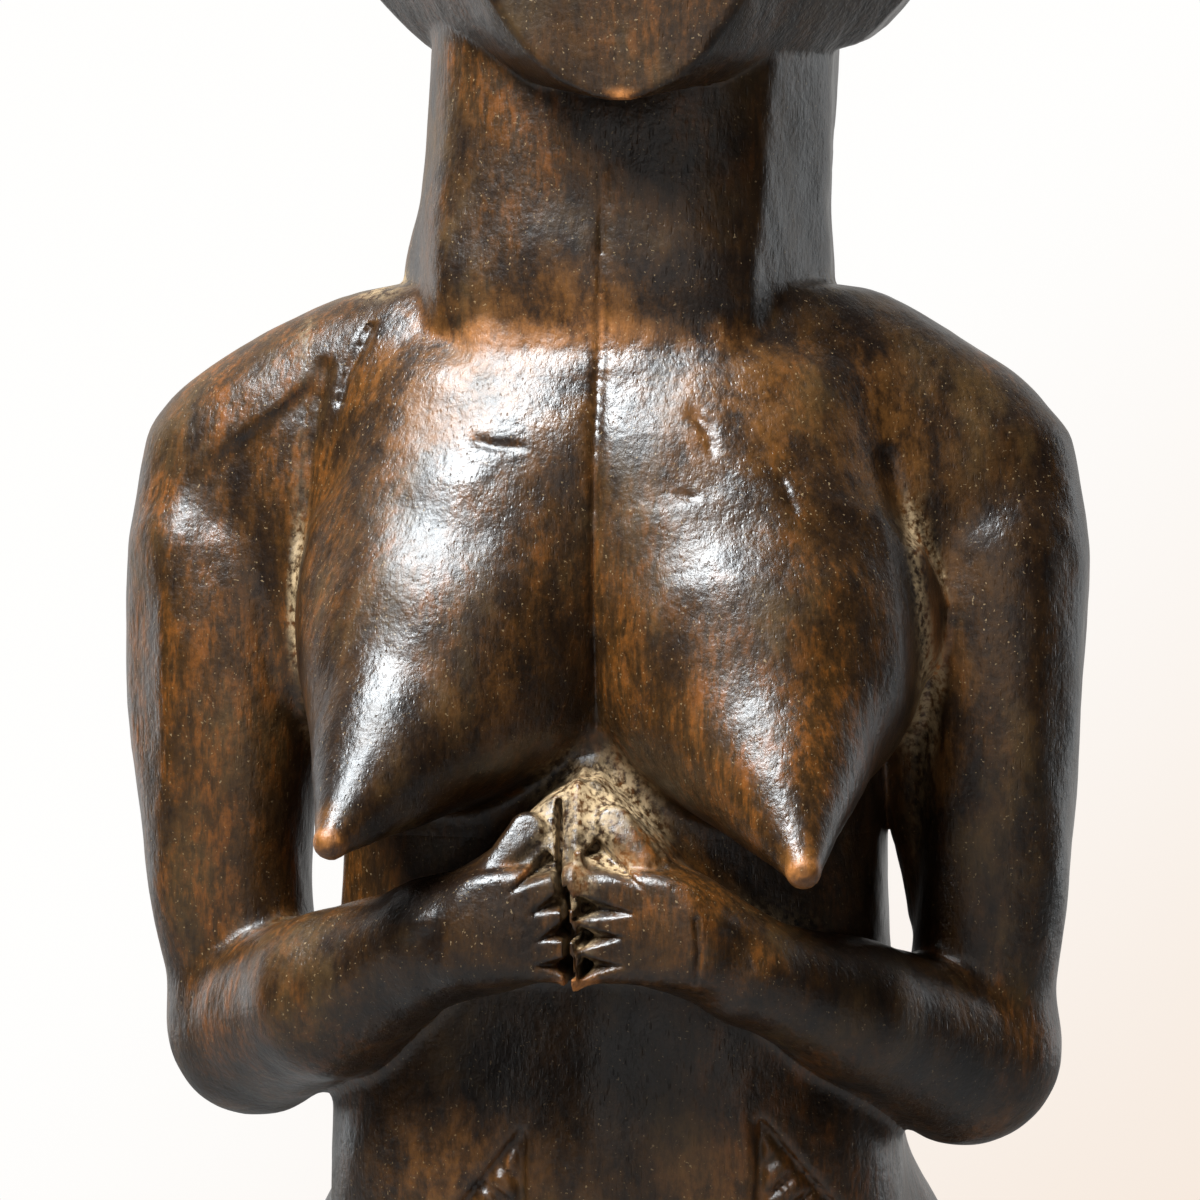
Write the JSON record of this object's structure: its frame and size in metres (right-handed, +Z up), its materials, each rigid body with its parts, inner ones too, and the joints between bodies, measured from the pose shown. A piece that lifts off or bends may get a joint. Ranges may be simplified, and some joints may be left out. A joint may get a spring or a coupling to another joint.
{
  "type": "fertility doll",
  "caption": "Standing carved wooden female figure with an oval head, a thick neck, pointed breasts and hands meeting on the belly, on a round plinth.",
  "frame": {"origin": "centre of the plinth's underside", "axes": "+Z up along the figure, the figure faces -Y, +X towards the figure's left hand"},
  "size_m": [0.2138, 0.172, 0.661],
  "materials": {
    "dark_wood": "near-black brown oiled patina, worn to orange brown on the edges",
    "black_wood": "blackened patina over carved ridges",
    "worn_dark_wood": "dry dark brown wood with worn edges"
  },
  "bodies": {
    "root": {"plinth": "worn_dark_wood", "left_foot": "dark_wood", "right_foot": "dark_wood", "left_shin": "dark_wood", "right_shin": "dark_wood", "left_thigh": "dark_wood", "right_thigh": "dark_wood", "pelvis": "dark_wood", "belly": "dark_wood", "navel": "dark_wood", "chest": "dark_wood", "left_breast": "dark_wood", "right_breast": "dark_wood", "left_upper_arm": "dark_wood", "right_upper_arm": "dark_wood", "left_forearm": "dark_wood", "right_forearm": "dark_wood", "left_hand": "dark_wood", "right_hand": "dark_wood", "neck": "dark_wood", "face_block": "dark_wood", "nose": "dark_wood", "coiffure": "black_wood"}
  },
  "joints": []
}
